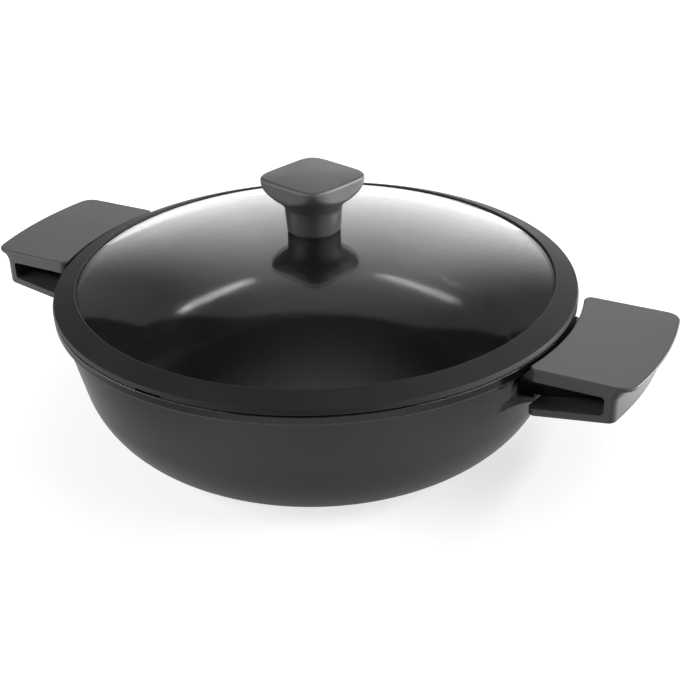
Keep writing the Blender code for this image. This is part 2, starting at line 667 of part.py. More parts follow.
def carrier(name, place, collection):
    """An empty that stands on a joint's axis and carries what moves."""
    empty = bpy.data.objects.new(name, None)
    empty.location = place
    empty.empty_display_size = 0.02
    collection.objects.link(empty)
    return empty


def main():
    """Clear the scene and build the pan, its grips and its lid."""
    for item in list(bpy.data.objects):
        bpy.data.objects.remove(item, do_unlink=True)
    parts = bpy.data.collections.new(PART_NAME)
    cutters = bpy.data.collections.new(CUTTERS)
    for collection in (parts, cutters):
        bpy.context.scene.collection.children.link(collection)
    finishes = {
        "cast": material("cast_aluminium", (0.045, 0.046, 0.048), 0.45, 0.6),
        "silicone": material("grip_silicone", (0.105, 0.107, 0.112), 0.55),
        "rim": material("rim_silicone", (0.035, 0.036, 0.038), 0.5),
        "glass": material("tempered_glass", (0.9, 0.92, 0.92), 0.02, 0.0, 1.0),
        "knob": material("knob_plastic", (0.13, 0.13, 0.135), 0.5),
        "seal": material("seal_silicone", (0.02, 0.02, 0.02), 0.6),
        "brass": material("brass", (0.70, 0.53, 0.25), 0.3, 1.0),
        "steel": material("steel", (0.60, 0.60, 0.62), 0.3, 1.0),
    }
    pan_body(parts, cutters, finishes["cast"])
    base_disc(parts, finishes["steel"])
    for label, side in SIDES:
        slide = carrier(label + "_grip_slide", (side * TONGUE_TIP, 0, SLOT_TOP), parts)
        hold(grip(label + "_grip", side, parts, cutters, finishes["silicone"]), slide)
    lift = carrier("lid_lift", (0, 0, PAN_HEIGHT), parts)
    lid = [lid_rim(parts, cutters, finishes["rim"]), lid_glass(parts, finishes["glass"]),
           knob(parts, cutters, finishes["knob"])]
    for piece in lid + knob_fixings(parts, cutters, finishes):
        hold(piece, lift)


main()
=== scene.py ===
"""Saute pan with a glass lid and two slip-on grips: fine pieces, materials, studio and camera."""

from math import asin, atan2, cos, hypot, pi, radians, sin, sqrt, tan

import bmesh
import bpy
from mathutils import Matrix, Vector


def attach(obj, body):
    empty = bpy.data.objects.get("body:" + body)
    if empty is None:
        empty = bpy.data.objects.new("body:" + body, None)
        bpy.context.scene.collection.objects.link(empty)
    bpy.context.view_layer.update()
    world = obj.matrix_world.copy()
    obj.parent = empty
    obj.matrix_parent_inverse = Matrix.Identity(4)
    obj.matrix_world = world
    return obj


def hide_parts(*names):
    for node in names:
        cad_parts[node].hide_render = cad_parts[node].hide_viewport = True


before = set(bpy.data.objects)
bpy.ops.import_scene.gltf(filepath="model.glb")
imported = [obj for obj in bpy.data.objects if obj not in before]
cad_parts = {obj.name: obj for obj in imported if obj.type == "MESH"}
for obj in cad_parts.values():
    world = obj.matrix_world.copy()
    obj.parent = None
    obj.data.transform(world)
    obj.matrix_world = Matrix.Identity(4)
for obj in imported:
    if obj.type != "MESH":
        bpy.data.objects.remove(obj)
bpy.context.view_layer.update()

# Bowl
RIM_RADIUS = 0.150
PAN_HEIGHT = 0.086
FLANGE_HEIGHT = 0.006
FLANGE_OVERHANG = 0.0035
FLANGE_TOP_BLEND = 0.00084
FLANGE_UNDER_ROUND = 0.0018
FLANGE_DRAFT = 0.0002
FLANGE_ROOT = 0.0016
FLANGE_ROOT_RUN = 0.0009
MOUTH_ROUND = 0.0012
WALL = 0.0045
WALL_TAPER = radians(12.7)
CORNER_RADIUS = 0.053
BASE_THICKNESS = 0.0065
DISC_RADIUS = 0.079
DISC_THICKNESS = 0.0012

# Side tongues
TONGUE_HALF_WIDTH = 0.0285
TONGUE_TAPER = 0.0030
TONGUE_ROOT_FLARE = 0.020
TONGUE_TIP_ROUND = 0.006
TONGUE_EDGE = 0.0010
TONGUE_END_PLAY = 0.0010
TONGUE_EMBED = 0.0030
TONGUE_ROOT_LEAN = radians(6)
HAUNCH_DEPTH = 0.0030
HAUNCH_END_GAP = 0.0022

# Slip-on grips
GRIP_GAP = 0.0030
GRIP_LENGTH = 0.0524
GRIP_HALF_WIDTH = 0.046
GRIP_PROUD = 0.0012
GRIP_PLATE = 0.0070
GRIP_OVERHANG = 0.0072
GRIP_END_WALL = 0.0055
GRIP_SLOT_TIP = 0.0104
GRIP_SLOT_SLOPE = radians(8.6)
GRIP_LOWER_ARM = 0.0047
GRIP_SLOT_ROUND = 0.0020
SLOT_EDGE = 0.0005
SLOT_EDGE_ANGLE = radians(50)
GRIP_OUTER_CORNER = 0.0090
GRIP_LOWER_CORNER = 0.0042
GRIP_INNER_CORNER = 0.0042
GRIP_LIP = 0.0022
GRIP_TOP_ROUND = 0.0011
GRIP_BOTTOM_ROUND = 0.0016
KEY_HALF_WIDTH = 0.0030
KEY_HEIGHT = 0.0020

# Glass and its rim
DOME_RISE = 0.0272
GLASS_THICKNESS = 0.0040
GLASS_EDGE_INSET = 0.0105
GLASS_HOLE_RADIUS = 0.0045
GLASS_EDGE_ROUND = 0.0011
RIM_SIDE = 0.0033
RIM_WIDTH = 0.0132
RIM_RISE = 0.0042
RIM_LIP = 0.0010
RIM_OUTER_ROUND = 0.0009
RIM_SIDE_LEAN = 0.0005
RIM_FOOT_ROUND = 0.0007
RIM_PLUG_DEPTH = 0.0050
RIM_PLUG_WALL = 0.0042
RIM_UNDER_LIP = 0.0012
RIM_UNDER_REACH = 0.0048
LID_PLAY = 0.0006
VENT_WIDTH = 0.0165
VENT_HEIGHT = 0.0011
VENT_AZIMUTH = radians(-94.7)

# Knob
KNOB_HEIGHT = 0.0302
KNOB_CROWN = 0.0008
KNOB_HALF_WIDTH = 0.0236
KNOB_SQUARENESS = 5.0
KNOB_TURN = radians(-15.0)
NECK_RADIUS = 0.0152
NECK_FLARE = 0.0008
NECK_STRAIGHT = 0.0085
NECK_PULL = 0.0040
KNOB_WAIST = (0.0196, 0.0164)        # radius and height where the cap's underside starts
WAIST_PULL_DOWN = (0.0026, 0.0020)
WAIST_PULL_UP = (0.0026, 0.0025)
CAP_LIP = 0.0262
CAP_LIP_PULL = (0.0016, 0.0042)
CAP_LIP_SPARE = 0.0001
KNOB_TOP_ROUND = 0.0018
KNOB_EDGE_ROUND = 0.0017
KNOB_SKIRT = 0.0013
GASKET_RADIUS = 0.0145
INSERT_RADIUS = 0.0050
INSERT_LENGTH = 0.0140
INSERT_TIP_ROOM = 0.0030
SHANK_BORE = 0.0028
GASKET_THICKNESS = 0.0005

FIT = 0.0003

# Facets of the fine pieces
TURNED_STEPS = 288
CORNER_STEPS = 32
DOME_STEPS = 40
EDGE_STEPS = 7
PLAN_CORNER_STEPS = 14
PLAN_ARC_STEPS = 40
KNOB_STEPS = 200
KNOB_EDGE_STEPS = 8
KNOB_CROWN_STEPS = 16
BORE_STEPS = 64
SLOT_EDGE_SEGMENTS = 3

# Shading
CREASE = radians(32)
KNOB_CREASE = radians(40)
DOME_CREASE = radians(60)
LARGE_FACE_WEIGHT = 80
WELD_REACH = 0.000002

# Sizes that follow
SLOPE = tan(WALL_TAPER)
FLANGE_BOTTOM = PAN_HEIGHT - FLANGE_HEIGHT
WALL_TOP_RADIUS = RIM_RADIUS - FLANGE_OVERHANG
GRIP_TOP = PAN_HEIGHT + GRIP_PROUD
SLOT_TOP = GRIP_TOP - GRIP_PLATE
GRIP_INNER = RIM_RADIUS + GRIP_GAP
GRIP_OUTER = GRIP_INNER + GRIP_LENGTH
END_WALL_RADIUS = GRIP_OUTER - GRIP_OVERHANG
SLOT_END = sqrt(END_WALL_RADIUS ** 2 - GRIP_HALF_WIDTH ** 2) - GRIP_END_WALL
TONGUE_TIP = SLOT_END - TONGUE_END_PLAY
RIM_SEAT = PAN_HEIGHT + FIT
RIM_EDGE_TOP = RIM_SEAT + RIM_SIDE
LIP_RADIUS = RIM_RADIUS - RIM_WIDTH
LIP_TOP = RIM_EDGE_TOP + RIM_RISE
GLASS_EDGE = RIM_RADIUS - GLASS_EDGE_INSET
DOME_TOP = RIM_EDGE_TOP + RIM_RISE - RIM_LIP + DOME_RISE
DOME_RADIUS = (LIP_RADIUS ** 2 + DOME_RISE ** 2) / (2 * DOME_RISE)
DOME_CENTRE = DOME_TOP - DOME_RADIUS
KNOB_BOTTOM = DOME_TOP + GASKET_THICKNESS + 2 * FIT
KNOB_CORNER = KNOB_HALF_WIDTH * 2 ** (1 / 2 - 1 / KNOB_SQUARENESS)

# Finishes, with light and shade painted on the knob
COOL = -0.012
FAINTLY_COOL = -0.008
# The knob's painted light: painted shade on the neck under the cap, and a painted highlight along
# the cap's top edge
NECK_SHADE_SPAN = (0.002, 0.012)            # heights above the knob's foot
CAP_SPAN = (0.016, 0.023)
CAP_HIGHLIGHT_SPAN = (-0.0020, -0.0013)    # heights from its top
CAP_TOP_SPAN = (-0.0004, 0.0001)
NECK_FOOT_PAINTED_SHADE = 0.80
NECK_PAINTED_SHADE = 0.60
CAP_EDGE_PAINTED_HIGHLIGHT = 2.0

# Sockets of a Mix node that share their names with others
MIX_VALUE_A, MIX_VALUE_B = 2, 3
MIX_COLOUR_A, MIX_COLOUR_B = 6, 7
MIX_COLOUR_RESULT = 2

# Camera
CAMERA_LENS = 67.22
CAMERA_SENSOR = 36.0
CAMERA_DISTANCE = 0.73533
CAMERA_ELEVATION = radians(25.234)
CAMERA_AZIMUTH = radians(29.807)     # about Z, from the -Y side towards +X
CAMERA_YAW = -0.0172488
CAMERA_PITCH = -0.0516401
CAMERA_ROLL = 0.0342616
CAMERA_CLIP = (0.01, 50.0)
TOWARDS_CAMERA = (sin(CAMERA_AZIMUTH), -cos(CAMERA_AZIMUTH), 0.0)
TO_THE_RIGHT = (cos(CAMERA_AZIMUTH), sin(CAMERA_AZIMUTH), 0.0)

# Floor, in metres from the pan's axis and in levels where 1 is white
FLOOR_REACH = 6.0
FLOOR_CELLS = 8
WHITE_SPAN = (0.15, 0.27)            # the floor that the camera sees turns white here
# Painted shadow: the floor that the camera sees by the pan is painted a little darker from left to
# right
PAINTED_SHADOW_SPAN = (-0.05, 0.14)            # from left to right it is a little darker by the pan
PAINTED_SHADOW_LOSS = 0.16
FRONT_SPAN = (0.28, 0.55)            # what the object mirrors, by region
BACK_SPAN = (-0.45, -0.12)
# Painted shadow: under the pan the floor is painted dark in what the object mirrors
UNDER_PAN_SHADOW_SPAN = (0.085, 0.175)
UNDER_PAN_SHADOW_LEVEL = 0.05
SIDE_SPAN = (0.07, 0.19)
FAR_SPAN = (0.21, 0.29)
FLOOR_BOUNCE = 0.28
MIRRORED_LOSS = 0.8

# World, in degrees: turns are from straight behind the pan, with the right side positive
PANEL_EDGE = (-26.5, -6)
PANEL_SLOPE = (-6, 6)
PANEL_EDGE_SHARE = 0.84
PANEL_END = (15, 33)
PANEL_LEVELS = [(0, 1.0), (8, 1.0), (15, 0.95), (25, 0.80), (31, 0.65), (37, 0.48),
                (47, 0.16), (54, 0.02)]
SCREEN_TURN = 3
SCREEN_EDGE = (36.5, 38)
SCREEN_TOP_TURN = 8
SCREEN_TOP_EDGE = (1.38, 1.46)       # the tangent of the height of its level top edge
CORNER_TURN = 4
CORNER_EDGE = (22, 37)
CORNER_CUT = 0.30
CEILING_EDGE = (58, 84)

# Lamps: name, degrees round from the camera's right and up, distance, size and power
LAMP_TARGET = (0.0, 0.0, 0.06)
LAMPS = [
    ("lamp_right", -22, 39, 1.0, (0.78, 0.10), 4.3),
    ("lamp_left", -156, 37, 1.6, (1.30, 0.18), 8.0),
    ("side_right", 2, 8, 1.2, (0.60, 0.25), 12.5),
    ("side_left", -175, 10, 1.2, (0.50, 0.25), 3.0),
]


# Mesh tools

def arc(centre, radius, start, end, steps):
    """Points along an arc in a plane, both ends included."""
    return [
        (centre[0] + radius * cos(start + (end - start) * i / steps),
         centre[1] + radius * sin(start + (end - start) * i / steps))
        for i in range(steps + 1)
    ]


def blend(start, corner, end, steps):
    """A short curve that rounds a corner, its ends included."""
    points = []
    for i in range(steps + 1):
        t = i / steps
        points.append(tuple(
            (1 - t) ** 2 * a + 2 * t * (1 - t) * b + t * t * c
            for a, b, c in zip(start, corner, end)))
    return points


def add_object(name, mesh):
    """Put a mesh in the scene as a named object."""
    piece = bpy.data.objects.new(name, mesh)
    bpy.context.scene.collection.objects.link(piece)
    return piece


def mesh_from(name, build):
    """Make a mesh out of a bmesh that the function build fills."""
    work = bmesh.new()
    build(work)
    bmesh.ops.recalc_face_normals(work, faces=work.faces)
    mesh = bpy.data.meshes.new(name)
    work.to_mesh(mesh)
    work.free()
    return mesh


def turned(name, profile, steps=TURNED_STEPS, closed=False):
    """Turn a profile of (radius, height) points about Z; a point on the axis has radius 0."""
    def build(work):
        rings = []
        for radius, height in profile:
            if radius == 0.0:
                rings.append([work.verts.new((0.0, 0.0, height))] * steps)
            else:
                rings.append([work.verts.new((radius * cos(2 * pi * i / steps),
                                              radius * sin(2 * pi * i / steps), height))
                              for i in range(steps)])
        pairs = list(zip(rings, rings[1:]))
        if closed:
            pairs.append((rings[-1], rings[0]))
        for lower, upper in pairs:
            for i in range(steps):
                j = (i + 1) % steps
                corners = list(dict.fromkeys((lower[i], lower[j], upper[j], upper[i])))
                if len(corners) > 2:
                    work.faces.new(corners)

    return add_object(name, mesh_from(name, build))


def loft(name, rings):
    """Skin a stack of rings with the same number of points, and cap both ends."""
    def build(work):
        loops = [[work.verts.new(point) for point in ring] for ring in rings]
        count = len(rings[0])
        for lower, upper in zip(loops, loops[1:]):
            for i in range(count):
                j = (i + 1) % count
                work.faces.new((lower[i], lower[j], upper[j], upper[i]))
        work.faces.new(loops[0][::-1])
        work.faces.new(loops[-1])

    return add_object(name, mesh_from(name, build))


def block(name, low, high, turn=0.0):
    """A box between two corners, turned about Z."""
    size = Vector(high) - Vector(low)
    centre = (Vector(high) + Vector(low)) / 2

    def build(work):
        bmesh.ops.create_cube(work, size=1.0)
        bmesh.ops.scale(work, vec=size, verts=work.verts)
        bmesh.ops.translate(work, vec=centre, verts=work.verts)
        bmesh.ops.rotate(work, cent=(0, 0, 0), matrix=Matrix.Rotation(turn, 3, "Z"),
                         verts=work.verts)

    return add_object(name, mesh_from(name, build))


def settle(piece, others=()):
    """Apply a piece's modifiers to its mesh, and delete the solids it was combined with."""
    bpy.context.view_layer.update()
    graph = bpy.context.evaluated_depsgraph_get()
    solid = bpy.data.meshes.new_from_object(piece.evaluated_get(graph))
    old = piece.data
    piece.modifiers.clear()
    piece.data = solid
    bpy.data.meshes.remove(old)
    for other in others:
        bpy.data.objects.remove(other, do_unlink=True)
    return piece


def combined(piece, steps):
    """Join solids to a piece or cut them out, in order."""
    for other, operation in steps:
        step = piece.modifiers.new(operation.title(), "BOOLEAN")
        step.operation = operation
        step.solver = "EXACT"
        step.object = other
    return settle(piece, [other for other, _ in steps])


def softened(piece, width, angle, segments):
    """Round the edges that are sharper than an angle."""
    step = piece.modifiers.new("Soften", "BEVEL")
    step.width = width
    step.segments = segments
    step.limit_method = "ANGLE"
    step.angle_limit = angle
    return settle(piece)


def shaded(piece, angle):
    """Smooth shading with crisp edges, led by the larger faces."""
    piece.data.shade_smooth()
    piece.data.set_sharp_from_angle(angle=angle)
    step = piece.modifiers.new("Shading", "WEIGHTED_NORMAL")
    step.keep_sharp = True
    step.weight = LARGE_FACE_WEIGHT


# Bowl

def wall_radius(height, inset=0.0):
    """Radius of the tapered wall at a height, or of a surface inset from it."""
    return WALL_TOP_RADIUS - (FLANGE_BOTTOM - height) * SLOPE - inset / cos(WALL_TAPER)


def corner_profile(floor, fillet, inset):
    """Points from the wall round the corner to the floor, from top to bottom."""
    centre = (wall_radius(floor + fillet, inset + fillet), floor + fillet)
    return arc(centre, fillet, -WALL_TAPER, -pi / 2, CORNER_STEPS)


def bowl_profile():
    """The closed section: outside from the mouth down, the disc's socket, and up inside."""
    mouth = wall_radius(PAN_HEIGHT, WALL)
    edge = blend((RIM_RADIUS - FLANGE_TOP_BLEND, PAN_HEIGHT), (RIM_RADIUS, PAN_HEIGHT),
                 (RIM_RADIUS, PAN_HEIGHT - FLANGE_TOP_BLEND), EDGE_STEPS)
    under = arc((RIM_RADIUS - FLANGE_DRAFT - FLANGE_UNDER_ROUND,
                 FLANGE_BOTTOM + FLANGE_UNDER_ROUND),
                FLANGE_UNDER_ROUND, 0.0, -pi / 2, EDGE_STEPS)
    wall = blend((WALL_TOP_RADIUS + FLANGE_ROOT_RUN, FLANGE_BOTTOM),
                 (WALL_TOP_RADIUS, FLANGE_BOTTOM),
                 (wall_radius(FLANGE_BOTTOM - FLANGE_ROOT), FLANGE_BOTTOM - FLANGE_ROOT),
                 EDGE_STEPS)
    socket = [(DISC_RADIUS + FIT, 0.0), (DISC_RADIUS + FIT, DISC_THICKNESS + FIT),
              (0.0, DISC_THICKNESS + FIT)]
    inside = [(0.0, BASE_THICKNESS)]
    inside += corner_profile(BASE_THICKNESS, CORNER_RADIUS - WALL, WALL)[::-1]
    inside += arc((mouth + MOUTH_ROUND, PAN_HEIGHT - MOUTH_ROUND), MOUTH_ROUND,
                  pi, pi / 2, EDGE_STEPS)
    return edge + under + wall + corner_profile(0.0, CORNER_RADIUS, 0.0) + socket + inside


def slot_floor(x):
    """Height of the grip slot's sloping floor."""
    return SLOT_TOP - GRIP_SLOT_TIP - (SLOT_END - x) * tan(GRIP_SLOT_SLOPE)


def web_outline(inset, steps):
    """One side of the tongue's web in plan, from inside the wall to where it runs straight."""
    wall = wall_radius(slot_floor(RIM_RADIUS))
    flare = TONGUE_ROOT_FLARE + inset
    spread = TONGUE_HALF_WIDTH + TONGUE_TAPER - inset + flare
    turn = asin(spread / (wall + flare))
    start = turn + TONGUE_ROOT_LEAN
    root = ((wall - TONGUE_EMBED) * cos(start), (wall - TONGUE_EMBED) * sin(start))
    return [root] + arc(((wall + flare) * cos(turn), spread), flare, turn - pi, -pi / 2, steps)


def tongue_outline(inset):
    """Half of the tongue's plan and its mirror image, from the root round the tip."""
    end = arc((TONGUE_TIP - TONGUE_TIP_ROUND, TONGUE_HALF_WIDTH - TONGUE_TIP_ROUND),
              TONGUE_TIP_ROUND - inset, pi / 2, 0.0, PLAN_CORNER_STEPS)
    half = web_outline(inset, 2 * PLAN_CORNER_STEPS) + end
    return half + [(x, -y) for x, y in reversed(half)]


def tongue(side):
    """One cast tongue, thinner towards its tip, with rounded long edges."""
    rings = []
    for inset, rise in arc((TONGUE_EDGE, TONGUE_EDGE), TONGUE_EDGE, -pi / 2, -pi, EDGE_STEPS):
        rings.append([(side * x, side * y, slot_floor(x) + FIT + rise)
                      for x, y in tongue_outline(inset)])
    for inset, drop in arc((TONGUE_EDGE, TONGUE_EDGE), TONGUE_EDGE, pi, 3 * pi / 2, EDGE_STEPS):
        rings.append([(side * x, side * y, SLOT_TOP - FIT - drop)
                      for x, y in tongue_outline(inset)])
    return loft("tongue", rings)


def haunch(side):
    """The thicker root under a tongue, between the wall and the grip's lower arm."""
    reach = GRIP_INNER - HAUNCH_END_GAP
    web = [point for point in web_outline(0.0, 4 * PLAN_CORNER_STEPS) if hypot(*point) < reach]
    turn = asin(web[-1][1] / reach)
    end = arc((0, 0), reach, turn, -turn, PLAN_CORNER_STEPS)
    outline = web + end + [(x, -y) for x, y in reversed(web)]
    rings = [[(side * x, side * y, slot_floor(x) + lift) for x, y in outline]
             for lift in (-HAUNCH_DEPTH, 2 * TONGUE_EDGE)]
    return loft("haunch", rings)


def rooted(piece):
    """A tongue or haunch without the part of its root that would stand inside the bowl."""
    low, high = wall_radius(0.0, WALL / 2), wall_radius(PAN_HEIGHT, WALL / 2)
    core = turned("core", [(0.0, 0.0), (low, 0.0), (high, PAN_HEIGHT), (0.0, PAN_HEIGHT)])
    return combined(piece, [(core, "DIFFERENCE")])


def pan_casting():
    """The casting: bowl, flange and both tongues in one piece."""
    steps = []
    for side in (1, -1):
        steps += [(rooted(tongue(side)), "UNION"), (rooted(haunch(side)), "UNION")]
    for side in (1, -1):
        reach = sorted((side * GRIP_INNER, side * (SLOT_END + TONGUE_END_PLAY)))
        half = KEY_HALF_WIDTH + FIT
        groove = block("groove", (reach[0], -half, SLOT_TOP - KEY_HEIGHT - FIT),
                       (reach[1], half, SLOT_TOP + KEY_HEIGHT))
        steps.append((groove, "DIFFERENCE"))
    return combined(turned("pan_casting", bowl_profile(), closed=True), steps)


# Grips

def grip_outline(inner, outer, half_width, outer_corner, inner_corner):
    """Plan of a grip: both ends concentric with the pan, straight sides, rounded corners."""
    far = Vector((sqrt((outer - outer_corner) ** 2 - (half_width - outer_corner) ** 2),
                  half_width - outer_corner))
    near = Vector((sqrt((inner + inner_corner) ** 2 - (half_width - inner_corner) ** 2),
                   half_width - inner_corner))
    far_angle = atan2(far.y, far.x)
    near_angle = atan2(near.y, near.x)
    outline = arc((0, 0), outer, -far_angle, far_angle, PLAN_ARC_STEPS)[:-1]
    outline += arc(far, outer_corner, far_angle, pi / 2, PLAN_CORNER_STEPS)
    outline += arc(near, inner_corner, pi / 2, pi + near_angle, PLAN_CORNER_STEPS)[:-1]
    outline += arc((0, 0), inner, near_angle, -near_angle, PLAN_ARC_STEPS)[:-1]
    outline += arc((near.x, -near.y), inner_corner, pi - near_angle, 3 * pi / 2, PLAN_CORNER_STEPS)
    outline += arc((far.x, -far.y), outer_corner, -pi / 2, -far_angle, PLAN_CORNER_STEPS)[:-1]
    return outline


def grip_ring(inset, overhang, corner, height):
    """One level of the grip, drawn in by inset and, at its far end, by overhang too."""
    outline = grip_outline(GRIP_INNER + inset, GRIP_OUTER - overhang - inset,
                           GRIP_HALF_WIDTH - inset, corner - inset, GRIP_INNER_CORNER - inset)
    return [(x, y, height(x)) for x, y in outline]


def grip_rings():
    """The grip's outside, from its top face down to its sloping underside."""
    rings = []
    for inset, lift in arc((GRIP_TOP_ROUND, -GRIP_TOP_ROUND), GRIP_TOP_ROUND,
                           pi / 2, pi, EDGE_STEPS):
        rings.append(grip_ring(inset, 0.0, GRIP_OUTER_CORNER, lambda x, z=GRIP_TOP + lift: z))
    edge = GRIP_LIP - GRIP_TOP_ROUND
    for i in range(1, EDGE_STEPS + 1):
        angle = pi / 2 * i / EDGE_STEPS
        drawn = edge * (1 - cos(angle))
        level = GRIP_TOP - GRIP_TOP_ROUND - edge * sin(angle)
        rings.append(grip_ring(0.0, drawn, GRIP_OUTER_CORNER, lambda x, z=level: z))
    cove = GRIP_OVERHANG - edge
    steps = 2 * EDGE_STEPS
    for i in range(1, steps + 1):
        angle = pi / 2 * i / steps
        share = sin(angle)
        corner = GRIP_OUTER_CORNER + (GRIP_LOWER_CORNER - GRIP_OUTER_CORNER) * share
        level = GRIP_TOP - GRIP_LIP - cove * (1 - cos(angle))
        rings.append(grip_ring(0.0, edge + cove * share, corner, lambda x, z=level: z))
    for inset, lift in arc((GRIP_BOTTOM_ROUND, GRIP_BOTTOM_ROUND), GRIP_BOTTOM_ROUND,
                           pi, 3 * pi / 2, EDGE_STEPS):
        rings.append(grip_ring(inset, GRIP_OVERHANG, GRIP_LOWER_CORNER,
                               lambda x, up=lift: slot_floor(x) - GRIP_LOWER_ARM + up))
    return rings


def slot_solid():
    """The grip's slot: open towards the pan, rounded at its closed end."""
    mouth = GRIP_INNER - GRIP_LENGTH / 4
    ceiling = arc((SLOT_END - GRIP_SLOT_ROUND, SLOT_TOP - GRIP_SLOT_ROUND), GRIP_SLOT_ROUND,
                  pi / 2, 0.0, EDGE_STEPS)
    low = slot_floor(SLOT_END) + GRIP_SLOT_ROUND
    floor = arc((SLOT_END - GRIP_SLOT_ROUND, low), GRIP_SLOT_ROUND,
                0.0, -pi / 2, EDGE_STEPS)[:-1]
    section = [(mouth, SLOT_TOP)] + ceiling + floor + [
        (SLOT_END - GRIP_SLOT_ROUND, slot_floor(SLOT_END - GRIP_SLOT_ROUND)),
        (mouth, slot_floor(mouth))]
    past = GRIP_HALF_WIDTH + GRIP_END_WALL
    return loft("slot", [[(x, y, z) for x, z in section] for y in (-past, past)])


def grip(name, side):
    """A slip-on grip: upper arm, end wall and lower arm round the tongue."""
    piece = loft(name, grip_rings())
    key = block("key", (GRIP_INNER + GRIP_INNER_CORNER, -KEY_HALF_WIDTH, SLOT_TOP - KEY_HEIGHT),
                (SLOT_END + TONGUE_END_PLAY, KEY_HALF_WIDTH, SLOT_TOP + GRIP_PLATE / 2))
    piece = combined(piece, [(slot_solid(), "DIFFERENCE"), (key, "UNION")])
    piece = softened(piece, SLOT_EDGE, SLOT_EDGE_ANGLE, SLOT_EDGE_SEGMENTS)
    if side < 0:
        piece.data.transform(Matrix.Rotation(pi, 4, "Z"))
    return piece


# Lid

def dome_height(radius, depth=0.0):
    """Height of the glass at a radius, or of a surface a depth below its outside."""
    return DOME_CENTRE + sqrt((DOME_RADIUS - depth) ** 2 - radius ** 2)


def dome_arc(start, end, depth, steps):
    """Points along the dome between two radii."""
    low = asin(start / (DOME_RADIUS - depth))
    high = asin(end / (DOME_RADIUS - depth))
    return [
        ((DOME_RADIUS - depth) * sin(low + (high - low) * i / steps),
         DOME_CENTRE + (DOME_RADIUS - depth) * cos(low + (high - low) * i / steps))
        for i in range(steps + 1)
    ]


def lid_dome():
    """The glass dome, with ground edges and a hole for the knob's screw."""
    ease = GLASS_EDGE_ROUND
    depth = GLASS_THICKNESS
    outside = dome_arc(GLASS_HOLE_RADIUS + ease, GLASS_EDGE - ease, 0.0, DOME_STEPS)
    inside = dome_arc(GLASS_HOLE_RADIUS + ease, GLASS_EDGE - ease, depth, DOME_STEPS)[::-1]
    outer = [(GLASS_EDGE, dome_height(GLASS_EDGE)), (GLASS_EDGE, dome_height(GLASS_EDGE, depth))]
    inner = [(GLASS_HOLE_RADIUS, dome_height(GLASS_HOLE_RADIUS, depth)),
             (GLASS_HOLE_RADIUS, dome_height(GLASS_HOLE_RADIUS))]
    edges = []
    for start, corners, end in ((outside[-1], outer, inside[0]), (inside[-1], inner, outside[0])):
        middle = ((corners[0][0] + corners[1][0]) / 2, (corners[0][1] + corners[1][1]) / 2)
        edges.append(blend(start, corners[0], middle, EDGE_STEPS)[1:]
                     + blend(middle, corners[1], end, EDGE_STEPS)[1:-1])
    return turned("lid_dome", outside + edges[0] + inside + edges[1], closed=True)


def lid_ring():
    """Silicone rim: it grips the glass's edge, sits on the flange and plugs the mouth.

    Its lip on the glass is drawn in shares of RIM_LIP.
    """
    plug_bottom = PAN_HEIGHT - RIM_PLUG_DEPTH
    plug_outer = wall_radius(plug_bottom, WALL) - LID_PLAY
    groove = GLASS_EDGE + FIT
    under_tip = GLASS_EDGE - RIM_UNDER_REACH
    under_top = dome_height(under_tip, GLASS_THICKNESS + FIT)
    lip_start = (LIP_RADIUS, LIP_TOP - RIM_LIP / 2)
    lip_crest = (LIP_RADIUS + RIM_LIP / 2, LIP_TOP)
    lip_end = (LIP_RADIUS + RIM_LIP * 1.3, LIP_TOP - RIM_LIP / 3)
    profile = [(LIP_RADIUS, dome_height(LIP_RADIUS) + FIT), lip_start]
    profile += blend(lip_start, (LIP_RADIUS + RIM_LIP / 8, LIP_TOP), lip_crest, EDGE_STEPS)[1:]
    profile += blend(lip_crest, (LIP_RADIUS + RIM_LIP * 0.8, LIP_TOP), lip_end, EDGE_STEPS)[1:]
    profile += arc((RIM_RADIUS - RIM_SIDE_LEAN - RIM_OUTER_ROUND, RIM_EDGE_TOP - RIM_OUTER_ROUND),
                   RIM_OUTER_ROUND, pi / 2, 0.0, EDGE_STEPS)
    profile += blend((RIM_RADIUS, RIM_SEAT + RIM_FOOT_ROUND), (RIM_RADIUS, RIM_SEAT),
                     (RIM_RADIUS - RIM_FOOT_ROUND, RIM_SEAT), EDGE_STEPS)
    profile += [(plug_outer, RIM_SEAT)]
    profile += blend((plug_outer, plug_bottom + RIM_OUTER_ROUND), (plug_outer, plug_bottom),
                     (plug_outer - RIM_OUTER_ROUND, plug_bottom), EDGE_STEPS)
    profile += [
        (plug_outer - RIM_PLUG_WALL, plug_bottom),
        (under_tip, under_top - RIM_UNDER_LIP),
        (under_tip, under_top),
        (groove, dome_height(GLASS_EDGE, GLASS_THICKNESS + FIT)),
        (groove, dome_height(GLASS_EDGE) + FIT),
    ]
    half = VENT_WIDTH / 2
    gutter = block("gutter", (under_tip - RIM_PLUG_WALL, -half, plug_bottom - RIM_SIDE),
                   (plug_outer + LID_PLAY, half, RIM_SEAT - FIT), VENT_AZIMUTH)
    outlet = block("outlet", (groove + RIM_LIP / 2, -half, RIM_SEAT - 2 * FIT),
                   (RIM_RADIUS + RIM_SIDE, half, RIM_SEAT + VENT_HEIGHT), VENT_AZIMUTH)
    return combined(turned("lid_ring", profile, closed=True),
                    [(gutter, "DIFFERENCE"), (outlet, "DIFFERENCE")])


# Knob

def cap_radius(angle):
    """Radius of the cap's superellipse outline in one direction."""
    power = KNOB_SQUARENESS
    return KNOB_HALF_WIDTH / (abs(cos(angle)) ** power + abs(sin(angle)) ** power) ** (1 / power)


def curve(start, first, second, end, steps):
    """Points along a cubic curve, its ends included."""
    points = []
    for i in range(steps + 1):
        t = i / steps
        weights = ((1 - t) ** 3, 3 * t * (1 - t) ** 2, 3 * t * t * (1 - t), t ** 3)
        points.append(tuple(
            sum(weight * value for weight, value in zip(weights, values))
            for values in zip(start, first, second, end)))
    return points


